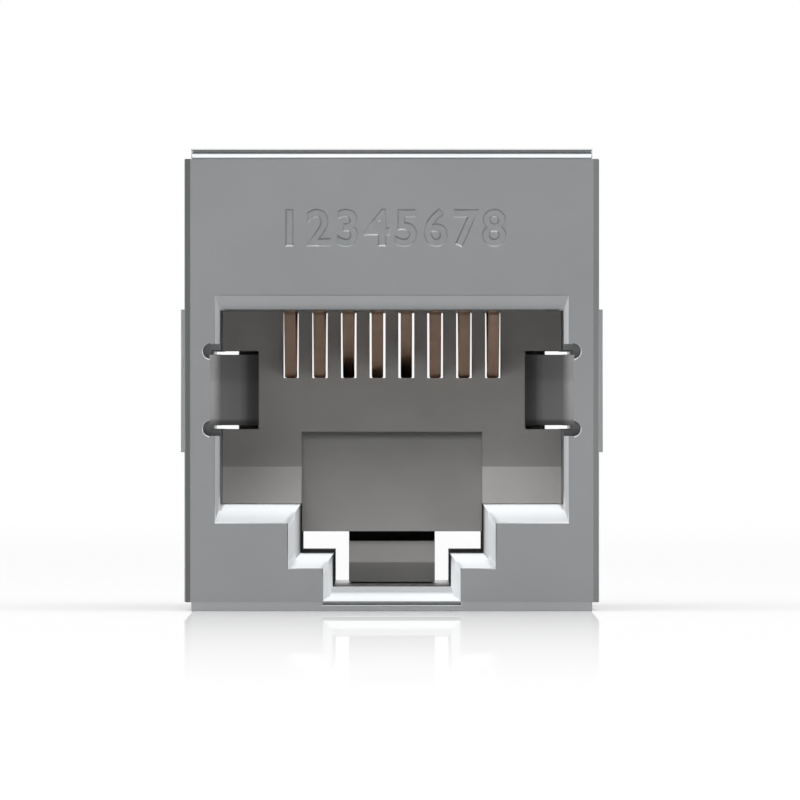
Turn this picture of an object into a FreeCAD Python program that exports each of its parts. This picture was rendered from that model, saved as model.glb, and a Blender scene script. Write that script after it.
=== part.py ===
# Shielded eight-way network coupler: a die-cast housing with the same port at both ends, closed by a
# top cover and a base plate. Inside, a moulded carrier stands between the two ports, two moulded
# holders carry eight bent contact wires each, and a circuit board joins the wires front to rear.
# Millimetres. X runs across the port, Y from the front port to the rear one, Z up from the base.
import FreeCAD, Part
import Sketcher
import math
import os

DRIVING_SIZES = {
    # heights, stacked from the base to the top
    "base_thickness": 0.3,
    "floor_thickness": 0.58,
    "tab_depth": 1.13,
    "latch_depth": 1.69,
    "port_height": 6.73,
    "holder_height": 1.98,
    "board_thickness": 1.0,
    "cover_room": 1.49,
    "panel_thickness": 0.8,
    "flange_thickness": 0.35,
    # lengths, stacked from the middle to the end
    "carrier_flange_length": 13.0,
    "holder_length": 7.2,
    "end_wall": 2.2,
    "carrier_length": 8.6,
    # widths, stacked from the port to the outside
    "port_width": 11.91,
    "ledge_width": 0.345,
    "side_wall": 0.9,
    "latch_width": 6.34,
    "tab_width": 4.03,
    # clearances between pieces that seat in each other
    "fit_gap": 0.05,
    "carrier_gap": 0.01,
    # outside edges
    "end_chamfer": 0.2,
    "plate_inset": 0.24,
    "rib_proud": 0.18,
    "rib_width": 1.0,
    "rib_pitch": 1.8,
    "rib_height": 5.0,
    "rib_bottom": 5.5,
    # rounded mouth of the port
    "mouth_depth": 0.24,
    "mouth_side": 0.2,
    "mouth_top": 0.55,
    "mouth_floor": 0.66,
    "mouth_latch_side": 0.46,
    "mouth_latch_floor": 0.56,
    "mouth_tab_side": 0.39,
    "lip_thickness": 0.21,
    "lip_round": 0.13,
    "lip_edge": 0.03,
    # contact wires
    "contact_pitch": 1.016,
    "contact_width": 0.4,
    "contact_thickness": 0.25,
    "comb_gap": 0.08,
    "comb_floor": 4.4,
    "run_rise": 1.1,
    "nose_setback": 0.62,
    "bend_radius": 0.5,
    "nose_straight": 0.05,
    "tail_bend": 0.4,
    "tail_margin": 0.8,
    "tail_row_gap": 2.2,
    "tail_proud": 0.5,
    "tail_room": 0.12,
    "tip_reach_short": 0.3,
    "tip_reach_middle": 1.2,
    "tip_reach_long": 3.2,
    # carrier between the ports
    "carrier_flange_height": 0.8,
    "ramp_height": 1.29,
    "ramp_length": 1.5,
    "pocket_height": 2.51,
    "pocket_depth": 0.8,
    "keel_depth": 0.99,
    "web_height": 0.34,
    "web_length": 1.2,
    "foot_width": 3.02,
    "foot_length": 6.2,
    "foot_shoulder": 0.55,
    "foot_nose_share": 0.48,
    # ground springs, with the notches and slots beside them
    "spring_rise": 2.75,
    "spring_height": 2.45,
    "strip_thickness": 0.12,
    "root_setback": 0.065,
    "root_reach": 0.345,
    "root_turn": 0.105,
    "root_bend": 0.3,
    "root_room": 0.005,
    "root_room_depth": 0.38,
    "spring_bow": 1.55,
    "spring_bow_at": 1.72,
    "spring_bend": 2.05,
    "spring_end_at": 6.0,
    "spring_end_inset": 0.2,
    "ear_thickness": 0.1,
    "ear_reach": 0.295,
    "ear_start_share": 0.12,
    "ear_end_share": 0.42,
    "notch_width": 0.585,
    "notch_height": 0.5,
    "notch_length": 1.9,
    "notch_gap": 0.03,
    "slot_height": 0.14,
    "slot_gap": 0.01,
    "slot_reach": 0.31,
    "slot_depth": 0.575,
    "blind_slot_length": 0.7,
    "blind_slot_depth": 1.2,
    # top cover
    "flange_land": 0.075,
    "flange_bevel": 0.13,
    "flange_groove": 0.095,
    "flange_groove_depth": 0.5,
    "leg_width": 2.6,
    "leg_thickness": 0.5,
    "leg_at": 4.0,
    "window_rise": 0.3,
    "window_height": 1.3,
    "window_room": 0.3,
    "lug_reach": 0.7,
    "post_diameter": 1.2,
    "post_inset": 1.2,
    # circuit board
    "board_gap": 0.15,
    "board_end_gap": 1.0,
    "tail_hole_gap": 0.13,
    # base plate
    "peg_diameter": 1.2,
    "peg_recess": 0.03,
    "peg_spread": 10.4,
    "peg_end_gap": 4.0,
    "relief_height": 0.09,
    "relief_length": 0.6,
}
CONTACTS = 8
GRIP_RIBS = 10
# A cut that goes right through is this many times the half size that it crosses
THROUGH = 2.5
# The mouth's rounding, from the end face to the throat: shares of its depth and of its width
MOUTH_PROFILE = [(0, 0), (0.125, 0.24), (0.417, 0.64), (0.708, 0.895), (1, 1)]


class Size:
    """A length with its value now and the expression that ties it to the sheet of sizes."""

    def __init__(self, value, text):
        self.value = value
        self.text = text

    def joined(self, other, sign, value):
        other = as_size(other)
        return Size(value, f"({self.text} {sign} {other.text})")

    def __add__(self, other):
        return self.joined(other, "+", self.value + as_size(other).value)

    def __sub__(self, other):
        return self.joined(other, "-", self.value - as_size(other).value)

    def __mul__(self, other):
        return self.joined(other, "*", self.value * as_size(other).value)

    def __truediv__(self, other):
        return self.joined(other, "/", self.value / as_size(other).value)

    def __neg__(self):
        return self * -1


def as_size(number):
    return number if isinstance(number, Size) else Size(float(number), f"({float(number)})")


doc = FreeCAD.newDocument("coupler")
sheet = doc.addObject("Spreadsheet::Sheet", "Sizes")
for row, (alias, number) in enumerate(DRIVING_SIZES.items(), start=1):
    sheet.set(f"A{row}", alias.replace("_", " "))
    sheet.set(f"B{row}", str(number))
    sheet.setAlias(f"B{row}", alias)
doc.recompute()


def driving(alias):
    return Size(DRIVING_SIZES[alias], f"Sizes.{alias}")


# Levels, from the base to the top
fit_gap = driving("fit_gap")
housing_bottom = driving("base_thickness")
tab_floor = housing_bottom + driving("floor_thickness")
latch_floor = tab_floor + driving("tab_depth")
port_floor = latch_floor + driving("latch_depth")
port_top = port_floor + driving("port_height")
board_bottom = port_top + driving("holder_height")
board_top = board_bottom + driving("board_thickness")
panel_bottom = board_top + driving("cover_room")
housing_top = panel_bottom + driving("panel_thickness")
overall_top = housing_top + driving("flange_thickness")

# Half lengths, from the middle to the end faces
carrier_half = driving("carrier_length") / 2
carrier_flange_half = driving("carrier_flange_length") / 2
holder_back = carrier_flange_half + fit_gap
holder_face = holder_back + driving("holder_length")
chamber_end = holder_face + fit_gap
end_face = chamber_end + driving("end_wall")

# Half widths, from the port to the outside
port_half = driving("port_width") / 2
chamber_half = port_half + driving("ledge_width")
housing_half = chamber_half + driving("side_wall")
latch_half = driving("latch_width") / 2
tab_half = driving("tab_width") / 2
plate_half = housing_half - driving("plate_inset")
inner_half = chamber_half - fit_gap

# Contact wires: their places across the port and their bends
contact_x = [driving("contact_pitch") * (number - (CONTACTS - 1) / 2) for number in range(CONTACTS)]
wire_half = driving("contact_thickness") / 2
contact_run = port_top + driving("run_rise")
tail_top = board_top + driving("tail_proud")
tail_far = holder_back + driving("tail_margin")
tail_rows = [tail_far + driving("tail_row_gap"), tail_far]
comb_floor = port_floor + driving("comb_floor")
TIP_REACH = ["short", "short", "long", "middle", "long", "short", "short", "short"]


def tail_y(number):
    """Distance of a contact's tail from the middle: odd and even tails stand in two rows."""
    return tail_rows[number % len(tail_rows)]


def new_body(label):
    body = doc.addObject("PartDesign::Body", label)
    body.Label = label
    return body


def sketch_on(body, name, role, offset=None):
    """Sketch on one of the body's own origin planes, moved along the plane's normal."""
    plane = next(feature for feature in body.Origin.OriginFeatures if feature.Role == role)
    sketch = body.newObject("Sketcher::SketchObject", name)
    sketch.AttachmentSupport = [(plane, "")]
    sketch.MapMode = "FlatFace"
    if offset is not None:
        sketch.AttachmentOffset = FreeCAD.Placement(FreeCAD.Vector(0, 0, offset.value), FreeCAD.Rotation())
        sketch.setExpression("AttachmentOffset.Base.z", offset.text)
    return sketch


def bind(sketch, constraint, size):
    index = sketch.addConstraint(constraint)
    sketch.setExpression(f"Constraints[{index}]", size.text)


def bind_point(sketch, geometry, end, point):
    for kind, size in zip(("DistanceX", "DistanceY"), point):
        bind(sketch, Sketcher.Constraint(kind, -1, 1, geometry, end, size.value), size)


def flat(point):
    return FreeCAD.Vector(point[0].value, point[1].value, 0)


def add_polygon(sketch, points):
    """Closed outline with each corner held at its own place."""
    first = sketch.GeometryCount
    count = len(points)
    for number, point in enumerate(points):
        following = points[(number + 1) % count]
        sketch.addGeometry(Part.LineSegment(flat(point), flat(following)), False)
    for number, point in enumerate(points):
        following = first + (number + 1) % count
        sketch.addConstraint(Sketcher.Constraint("Coincident", first + number, 2, following, 1))
        bind_point(sketch, first + number, 1, point)


def add_rectangle(sketch, low, high):
    add_polygon(sketch, [low, (high[0], low[1]), high, (low[0], high[1])])


def add_circle(sketch, centre, diameter):
    circle = sketch.addGeometry(Part.Circle(flat(centre), FreeCAD.Vector(0, 0, 1), diameter.value / 2), False)
    bind_point(sketch, circle, 3, centre)
    bind(sketch, Sketcher.Constraint("Diameter", circle, diameter.value), diameter)


def add_bent_path(sketch, corners, radii):
    """Open path of straight runs through the corners, with a tangent arc of its own radius at each bend."""
    places = [flat(corner) for corner in corners]
    directions = [(b - a).normalize() for a, b in zip(places, places[1:])]
    setbacks = [0.0]
    for before, after, radius in zip(directions, directions[1:], radii):
        setbacks.append(radius.value * math.tan(before.getAngle(after) / 2))
    setbacks.append(0.0)
    lines = []
    for number, direction in enumerate(directions):
        start = places[number] + direction * setbacks[number]
        end = places[number + 1] - direction * setbacks[number + 1]
        lines.append(sketch.addGeometry(Part.LineSegment(start, end), False))
    for number, radius in enumerate(radii, start=1):
        before = directions[number - 1]
        after = directions[number]
        start = places[number] - before * setbacks[number]
        end = places[number] + after * setbacks[number]
        inward = (after - before).normalize()
        to_centre = radius.value / math.cos(before.getAngle(after) / 2)
        middle = places[number] + inward * (to_centre - radius.value)
        arc = sketch.addGeometry(Part.Arc(start, middle, end), False)
        arc_start = 1 if sketch.getPoint(arc, 1).distanceToPoint(start) < radius.value / 100 else 2
        sketch.addConstraint(Sketcher.Constraint("Tangent", lines[number - 1], 2, arc, arc_start))
        sketch.addConstraint(Sketcher.Constraint("Tangent", lines[number], 1, arc, 3 - arc_start))
        bind(sketch, Sketcher.Constraint("Radius", arc, radius.value), radius)
        corner = sketch.addGeometry(Part.Point(places[number]), True)
        bind_point(sketch, corner, 1, corners[number])
        sketch.addConstraint(Sketcher.Constraint("PointOnObject", corner, 1, lines[number - 1]))
        sketch.addConstraint(Sketcher.Constraint("PointOnObject", corner, 1, lines[number]))
    bind_point(sketch, lines[0], 1, corners[0])
    bind_point(sketch, lines[-1], 2, corners[-1])


def extrude(body, kind, name, sketch, length, symmetric=False, reverse=False):
    feature = body.newObject(f"PartDesign::{kind}", name)
    feature.Profile = sketch
    feature.Length = length.value
    feature.setExpression("Length", length.text)
    feature.SideType = "Symmetric" if symmetric else "One side"
    feature.Reversed = reverse
    return feature


def mirrored_to_rear(body, name, originals):
    """Repeat what the front end has at the rear end."""
    plane = next(feature for feature in body.Origin.OriginFeatures if feature.Role == "XZ_Plane")
    mirror = body.newObject("PartDesign::Mirrored", name)
    mirror.Originals = originals
    mirror.MirrorPlane = (plane, [""])
    body.Tip = mirror
    return mirror


def port_outline(share, tab_low):
    """Stepped outline of the port, widened all round by a share of the mouth's rounding, down to a level."""
    side = port_half + driving("mouth_side") * share
    top = port_top + driving("mouth_top") * share
    floor = port_floor - driving("mouth_floor") * share
    latch_side = latch_half + driving("mouth_latch_side") * share
    latch_low = latch_floor - driving("mouth_latch_floor") * share
    tab_side = tab_half + driving("mouth_tab_side") * share
    right = [(side, top), (side, floor), (latch_side, floor)]
    right += [(latch_side, latch_low), (tab_side, latch_low), (tab_side, tab_low)]
    left = [(-across, height) for across, height in reversed(right)]
    return right + left


# Heights of the ground springs, of the two notches that take their ears and of the slots at their edges
spring_bottom = port_floor + driving("spring_rise")
spring_top = spring_bottom + driving("spring_height")
upper_notch_low = spring_top - driving("ear_thickness") - driving("notch_gap")
lower_notch_high = spring_bottom + driving("ear_thickness") + driving("notch_gap")
notch_heights = [
    (upper_notch_low, upper_notch_low + driving("notch_height")),
    (lower_notch_high - driving("notch_height"), lower_notch_high),
]
upper_slot_low = spring_top + driving("slot_gap")
lower_slot_high = spring_bottom - driving("slot_gap")
slot_heights = [
    (upper_slot_low, upper_slot_low + driving("slot_height")),
    (lower_slot_high - driving("slot_height"), lower_slot_high),
]

# Places of the cover's snap legs and of the side windows that take their lugs
window_low = port_top + driving("carrier_flange_height") + driving("window_rise")
window_high = window_low + driving("window_height")
leg_places = [-driving("leg_at"), driving("leg_at")]

# Places of the four pegs that hold the base plate
peg_places = []
for across in (-1, 1):
    for along in (-1, 1):
        peg_y = (end_face - driving("peg_end_gap")) * along
        peg_places.append((driving("peg_spread") / 2 * across, peg_y))


def make_housing():
    """Die-cast shell: one stepped passage from port to port under a chamber that is open at the top."""
    body = new_body("housing")
    chamfer = driving("end_chamfer")

    plan = sketch_on(body, "housing_plan", "XY_Plane", housing_bottom)
    corner = [(housing_half, end_face - chamfer), (housing_half - chamfer, end_face)]
    front = [(across, -along) for across, along in reversed(corner)]
    right = front + corner
    left = [(-across, along) for across, along in reversed(right)]
    add_polygon(plan, right + left)
    extrude(body, "Pad", "shell_block", plan, housing_top - housing_bottom)

    grip = sketch_on(body, "grip_rib_side", "YZ_Plane")
    rib_low = driving("rib_bottom")
    rib_high = rib_low + driving("rib_height")
    for number in range(GRIP_RIBS):
        middle = driving("rib_pitch") * (number - (GRIP_RIBS - 1) / 2)
        half = driving("rib_width") / 2
        add_rectangle(grip, (middle - half, rib_low), (middle + half, rib_high))
    extrude(body, "Pad", "grip_ribs", grip, (housing_half + driving("rib_proud")) * 2, symmetric=True)

    passage = sketch_on(body, "passage_outline", "XZ_Plane")
    right = [(port_half, port_top), (port_half, port_floor), (latch_half, port_floor)]
    right += [(latch_half, latch_floor), (tab_half, latch_floor), (tab_half, tab_floor)]
    left = [(-across, height) for across, height in reversed(right)]
    add_polygon(passage, right + left)
    extrude(body, "Pocket", "passage", passage, end_face * THROUGH, symmetric=True)

    chamber = sketch_on(body, "chamber_plan", "XY_Plane", port_top)
    add_rectangle(chamber, (-chamber_half, -chamber_end), (chamber_half, chamber_end))
    extrude(body, "Pocket", "chamber", chamber, overall_top - port_top, reverse=True)

    windows = sketch_on(body, "window_side", "YZ_Plane")
    window_half = driving("leg_width") / 2 + driving("window_room")
    for place in leg_places:
        add_rectangle(windows, (place - window_half, window_low), (place + window_half, window_high))
    extrude(body, "Pocket", "lug_windows", windows, housing_half * THROUGH, symmetric=True)

    pegs = sketch_on(body, "peg_plan", "XY_Plane", housing_bottom)
    for place in peg_places:
        add_circle(pegs, place, driving("peg_diameter"))
    peg_length = driving("base_thickness") - driving("peg_recess")
    extrude(body, "Pad", "base_pegs", pegs, peg_length, reverse=True)

    # The mouth's edges are rounded over: each section is the outline at one depth behind the end face.
    # Below, the sections follow the lip's own small rounding and then its steep ramp up to the tab floor
    lip_levels = [housing_bottom + driving(level) for level in ("lip_edge", "lip_round", "lip_thickness")]
    lip_levels += [tab_floor - driving("lip_edge"), tab_floor]
    sections = []
    for number, (depth_share, width_share) in enumerate(MOUTH_PROFILE):
        place = end_face - driving("mouth_depth") * depth_share
        section = sketch_on(body, f"mouth_section_{number + 1}", "XZ_Plane", place)
        add_polygon(section, port_outline(1 - width_share, lip_levels[number]))
        sections.append(section)
    mouth = body.newObject("PartDesign::SubtractiveLoft", "mouth_rounding")
    mouth.Profile = sections[0]
    mouth.Sections = sections[1:]
    mouth.Ruled = True

    # A narrow slot runs along each wall above and below the springs, open at both ends
    slots = sketch_on(body, "wall_slot_outline", "XZ_Plane")
    for hand in (-1, 1):
        for low, high in slot_heights:
            inner = (port_half - driving("slot_reach")) * hand
            outer = (port_half + driving("slot_reach")) * hand
            add_rectangle(slots, (inner, low), (outer, high))
    extrude(body, "Pocket", "wall_slots", slots, end_face * THROUGH, symmetric=True)

    # The mouth is cut back between the notches for the root of each spring
    rooms = sketch_on(body, "spring_root_rooms", "XZ_Plane", end_face)
    for hand in (-1, 1):
        inner = (port_half - driving("notch_width")) * hand
        outer = (port_half + driving("root_reach") + driving("root_room")) * hand
        low = spring_bottom - driving("root_room")
        add_rectangle(rooms, (inner, low), (outer, spring_top + driving("root_room")))
    root_rooms = extrude(body, "Pocket", "root_rooms", rooms, driving("root_room_depth"))

    # Each notch has a straight part that opens into the port and a round end in the side wall
    notches = sketch_on(body, "ear_notch_outline", "XZ_Plane", end_face)
    notch_rounds = sketch_on(body, "ear_notch_ends", "XZ_Plane", end_face)
    for hand in (-1, 1):
        for low, high in notch_heights:
            open_end = (port_half - driving("notch_width")) * hand
            round_end = (port_half + driving("notch_width") - driving("notch_height") / 2) * hand
            add_rectangle(notches, (open_end, low), (round_end, high))
            add_circle(notch_rounds, (round_end, (low + high) / 2), driving("notch_height"))
    ear_notches = extrude(body, "Pocket", "ear_notches", notches, driving("notch_length"))
    ear_notch_ends = extrude(body, "Pocket", "ear_notch_rounds", notch_rounds, driving("notch_length"))
    mirrored_to_rear(body, "rear_mouth", [mouth, root_rooms, ear_notches, ear_notch_ends])
    return body


def make_top_cover():
    """Die-cast lid: a flange with a groove under its end edges, a panel that drops in, legs and posts."""
    body = new_body("top_cover")
    flange = sketch_on(body, "flange_side", "YZ_Plane")
    land_top = housing_top + driving("flange_land")
    bevel_top = land_top + driving("flange_bevel")
    groove_top = bevel_top + driving("flange_groove")
    brow = end_face - driving("flange_bevel")
    groove_floor = end_face - driving("flange_groove_depth")
    rear = [(end_face, housing_top), (end_face, land_top), (brow, bevel_top), (groove_floor, bevel_top)]
    rear += [(groove_floor, groove_top), (brow, groove_top), (brow - (overall_top - groove_top), overall_top)]
    front = [(-along, height) for along, height in reversed(rear)]
    add_polygon(flange, rear + front)
    extrude(body, "Pad", "flange", flange, plate_half * 2, symmetric=True)

    panel = sketch_on(body, "panel_plan", "XY_Plane", panel_bottom)
    add_rectangle(panel, (-inner_half, -holder_face), (inner_half, holder_face))
    extrude(body, "Pad", "panel", panel, driving("panel_thickness"))

    legs = sketch_on(body, "leg_plan", "XY_Plane", window_low + fit_gap)
    leg_half = driving("leg_width") / 2
    leg_inner = inner_half - driving("leg_thickness")
    for place in leg_places:
        add_rectangle(legs, (leg_inner, place - leg_half), (inner_half, place + leg_half))
        add_rectangle(legs, (-inner_half, place - leg_half), (-leg_inner, place + leg_half))
    extrude(body, "Pad", "snap_legs", legs, panel_bottom - window_low - fit_gap)

    for number, place in enumerate(leg_places, start=1):
        lug = sketch_on(body, f"lug_{number}_end", "XZ_Plane", leg_half - place)
        catch = window_high - fit_gap
        toe = window_low + fit_gap
        lug_tip = chamber_half + driving("lug_reach")
        for hand in (-1, 1):
            add_polygon(lug, [(inner_half * hand, toe), (lug_tip * hand, catch), (inner_half * hand, catch)])
        extrude(body, "Pad", f"lugs_{number}", lug, driving("leg_width"), reverse=True)

    posts = sketch_on(body, "post_plan", "XY_Plane", board_top)
    post_x = board_half - driving("post_inset")
    post_y = board_end - driving("post_inset")
    for across in (-1, 1):
        for along in (-1, 1):
            add_circle(posts, (post_x * across, post_y * along), driving("post_diameter"))
    extrude(body, "Pad", "board_posts", posts, driving("cover_room"))
    return body


def make_base_plate():
    """Stamped plate under the housing, held by the four pegs, relieved under each latch mouth."""
    body = new_body("base_plate")
    plan = sketch_on(body, "plate_plan", "XY_Plane")
    add_rectangle(plan, (-plate_half, -end_face), (plate_half, end_face))
    for place in peg_places:
        add_circle(plan, place, driving("peg_diameter") + fit_gap * 2)
    extrude(body, "Pad", "plate", plan, driving("base_thickness"))

    relief = sketch_on(body, "relief_plan", "XY_Plane", housing_bottom)
    relief_half = tab_half + driving("mouth_tab_side")
    relief_back = end_face - driving("relief_length")
    add_rectangle(relief, (-relief_half, -end_face), (relief_half, -relief_back))
    add_rectangle(relief, (-relief_half, relief_back), (relief_half, end_face))
    extrude(body, "Pocket", "mouth_reliefs", relief, driving("relief_height"))
    return body


def make_inner_carrier():
    """Moulded block between the ports: ramps, comb slots for the wire tips, a keel and a wedge-nosed foot."""
    body = new_body("inner_carrier")
    carrier_side = port_half - driving("carrier_gap")
    ramp_top = port_floor + driving("ramp_height")
    ramp_foot = carrier_half + driving("ramp_length")
    side = sketch_on(body, "carrier_side", "YZ_Plane")
    rear = [(ramp_foot, port_floor), (carrier_half, ramp_top), (carrier_half, port_top)]
    front = [(-along, height) for along, height in reversed(rear)]
    add_polygon(side, rear + front)
    extrude(body, "Pad", "carrier_block", side, carrier_side * 2, symmetric=True)

    flange = sketch_on(body, "flange_plan", "XY_Plane", port_top)
    add_rectangle(flange, (-inner_half, -carrier_flange_half), (inner_half, carrier_flange_half))
    extrude(body, "Pad", "flange", flange, driving("carrier_flange_height"))

    pockets = sketch_on(body, "pocket_side", "YZ_Plane")
    pocket_back = carrier_half - driving("pocket_depth")
    pocket_top = port_floor + driving("pocket_height")
    add_rectangle(pockets, (-ramp_foot, port_floor), (-pocket_back, pocket_top))
    add_rectangle(pockets, (pocket_back, port_floor), (ramp_foot, pocket_top))
    extrude(body, "Pocket", "latch_pockets", pockets, latch_half * 2, symmetric=True)

    keel_bottom = port_floor - driving("keel_depth")
    keel = sketch_on(body, "keel_side", "YZ_Plane")
    add_rectangle(keel, (-pocket_back, keel_bottom), (pocket_back, port_floor))
    extrude(body, "Pad", "keel", keel, (latch_half - driving("carrier_gap")) * 2, symmetric=True)

    foot_top = keel_bottom - driving("web_height")
    foot_bottom = tab_floor + fit_gap
    foot_nose = foot_bottom + (foot_top - foot_bottom) * driving("foot_nose_share")
    web_half = driving("web_length") / 2
    nose = driving("foot_length") / 2
    shoulder = nose - driving("foot_shoulder")
    foot = sketch_on(body, "foot_side", "YZ_Plane")
    rear = [(shoulder, foot_bottom), (nose, foot_nose), (shoulder, foot_top)]
    rear += [(web_half, foot_top), (web_half, keel_bottom)]
    front = [(-along, height) for along, height in reversed(rear)]
    add_polygon(foot, rear + front)
    extrude(body, "Pad", "foot", foot, driving("foot_width"), symmetric=True)

    comb = sketch_on(body, "comb_end", "XZ_Plane")
    slot_half = driving("contact_width") / 2 + driving("comb_gap")
    for middle in contact_x:
        add_rectangle(comb, (middle - slot_half, comb_floor), (middle + slot_half, port_top))
    extrude(body, "Pocket", "comb_slots", comb, carrier_half * THROUGH, symmetric=True)

    # The wall slots go on through the carrier's sides, and further in they end blind
    slots = sketch_on(body, "side_slot_end", "XZ_Plane")
    blind = sketch_on(body, "blind_slot_end", "XZ_Plane", carrier_half)
    slot_inner = port_half - driving("slot_depth")
    blind_inner = slot_inner - driving("blind_slot_length")
    for hand in (-1, 1):
        for low, high in slot_heights:
            add_rectangle(slots, (slot_inner * hand, low), (port_half * hand, high))
            add_rectangle(blind, (blind_inner * hand, low), (slot_inner * hand, high))
    extrude(body, "Pocket", "side_slots", slots, carrier_half * THROUGH, symmetric=True)
    blind_slots = extrude(body, "Pocket", "blind_slots", blind, driving("blind_slot_depth"))
    mirrored_to_rear(body, "rear_blind_slots", [blind_slots])
    return body


def make_contact_holder(label, rear):
    """Moulded comb over the port: each wire lies in its own slot, open below, and its tail goes up."""
    body = new_body(label)
    plan = sketch_on(body, "holder_plan", "XY_Plane", port_top)
    add_rectangle(plan, (-inner_half, -holder_face), (inner_half, -holder_back))
    extrude(body, "Pad", "holder_block", plan, driving("holder_height"))

    slots = sketch_on(body, "slot_end", "XZ_Plane", holder_face)
    tails = sketch_on(body, "tail_plan", "XY_Plane", port_top)
    slot_half = driving("contact_width") / 2 + fit_gap
    tail_half = wire_half + driving("tail_room")
    slot_top = contact_run + wire_half + fit_gap
    for number, middle in enumerate(contact_x):
        add_rectangle(slots, (middle - slot_half, port_top), (middle + slot_half, slot_top))
        tail = -tail_y(number)
        add_rectangle(tails, (middle - slot_half, tail - tail_half), (middle + slot_half, tail + tail_half))
    slot_length = holder_face - tail_rows[-1] + tail_half
    extrude(body, "Pocket", "wire_slots", slots, slot_length)
    extrude(body, "Pocket", "tail_holes", tails, driving("holder_height"), reverse=True)
    if rear:
        turn_to_rear(body)
    return body


def make_circuit_board():
    """Board on the two holders, drilled for the sixteen wire tails."""
    body = new_body("circuit_board")
    plan = sketch_on(body, "board_plan", "XY_Plane", board_bottom)
    add_rectangle(plan, (-board_half, -board_end), (board_half, board_end))
    hole = driving("contact_width") + driving("tail_hole_gap") * 2
    for number, middle in enumerate(contact_x):
        add_circle(plan, (middle, -tail_y(number)), hole)
        add_circle(plan, (-middle, tail_y(number)), hole)
    extrude(body, "Pad", "board", plan, driving("board_thickness"))
    return body


def turn_to_rear(body):
    """Give the rear port the front port's piece, turned half round about the upright axis."""
    body.Placement = FreeCAD.Placement(FreeCAD.Vector(), FreeCAD.Rotation(FreeCAD.Vector(0, 0, 1), 180))


def make_contact(label, number, rear):
    """One contact wire: tail through the board, run along the holder, wrap round its nose, sprung beam."""
    body = new_body(label)
    nose = driving("nose_setback") - holder_face
    tail = -tail_y(number)
    tip_y = driving(f"tip_reach_{TIP_REACH[number]}") - carrier_half
    tip_z = comb_floor + wire_half
    beam_start = contact_run - driving("bend_radius") * 2 - driving("nose_straight")
    path = sketch_on(body, "wire_path", "YZ_Plane", contact_x[number])
    corners = [(tail, tail_top), (tail, contact_run), (nose, contact_run), (nose, beam_start), (tip_y, tip_z)]
    radii = [driving("tail_bend"), driving("bend_radius"), driving("bend_radius")]
    add_bent_path(path, corners, radii)

    section = sketch_on(body, "wire_section", "XY_Plane", tail_top)
    half = driving("contact_width") / 2
    low = (contact_x[number] - half, tail - wire_half)
    high = (contact_x[number] + half, tail + wire_half)
    add_rectangle(section, low, high)
    wire = body.newObject("PartDesign::AdditivePipe", "wire")
    wire.Profile = section
    wire.Spine = path
    if rear:
        turn_to_rear(body)
    return body


def make_ground_spring(label, hand, rear):
    """Bowed strip at one side of a port: its root hooks over the mouth and its ears lie in the notches."""
    body = new_body(label)
    strip_half = driving("strip_thickness") / 2
    hook_y = driving("root_setback") - end_face
    hook_x = (port_half + driving("root_reach")) * hand
    turn_x = (port_half + driving("root_turn")) * hand
    bow_x = (port_half - driving("spring_bow")) * hand
    bow_y = driving("spring_bow_at") - end_face
    end_x = (port_half - driving("spring_end_inset")) * hand
    end_y = driving("spring_end_at") - end_face
    path = sketch_on(body, "strip_path", "XY_Plane", (spring_bottom + spring_top) / 2)
    corners = [(hook_x, hook_y), (turn_x, hook_y), (bow_x, bow_y), (end_x, end_y)]
    add_bent_path(path, corners, [driving("root_bend"), driving("spring_bend")])

    section = sketch_on(body, "strip_section", "YZ_Plane", hook_x)
    add_rectangle(section, (hook_y - strip_half, spring_bottom), (hook_y + strip_half, spring_top))
    strip = body.newObject("PartDesign::AdditivePipe", "strip")
    strip.Profile = section
    strip.Spine = path

    def along_run(share):
        return (turn_x + (bow_x - turn_x) * share, hook_y + (bow_y - hook_y) * share)

    ear_start = along_run(driving("ear_start_share"))
    ear_end = along_run(driving("ear_end_share"))
    ear_x = (port_half + driving("ear_reach")) * hand
    for name, low in (("lower_ear", spring_bottom), ("upper_ear", spring_top - driving("ear_thickness"))):
        ear = sketch_on(body, f"{name}_plan", "XY_Plane", low)
        add_polygon(ear, [(ear_x, ear_start[1]), ear_start, ear_end, (ear_x, ear_end[1])])
        extrude(body, "Pad", name, ear, driving("ear_thickness"))
    if rear:
        turn_to_rear(body)
    return body


# The board clears the cover's snap legs at its sides and the chamber's ends
board_half = inner_half - driving("leg_thickness") - driving("board_gap")
board_end = chamber_end - driving("board_end_gap")

bodies = [make_housing(), make_top_cover(), make_base_plate(), make_inner_carrier(), make_circuit_board()]
for end, rear in (("front", False), ("rear", True)):
    bodies.append(make_contact_holder(f"{end}_contact_holder", rear))
    for number in range(CONTACTS):
        bodies.append(make_contact(f"{end}_contact_{number + 1}", number, rear))
    for hand_name, hand in (("left", -1), ("right", 1)):
        bodies.append(make_ground_spring(f"{end}_{hand_name}_ground_spring", hand, rear))
doc.recompute()

failed = [item.Name for item in doc.Objects if "Invalid" in item.State or "Error" in item.State]
if failed:
    raise RuntimeError("These features failed: " + ", ".join(failed))
for body in bodies:
    if body.Shape.isNull() or not body.Shape.isValid() or len(body.Shape.Solids) != 1:
        raise RuntimeError(f"{body.Label} is not one valid solid")

os.makedirs("parts", exist_ok=True)
for body in bodies:
    body.Shape.exportStep(f"parts/{body.Label}.step")
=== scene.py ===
import math

import bmesh
import bpy
from mathutils import Matrix, Vector


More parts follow.
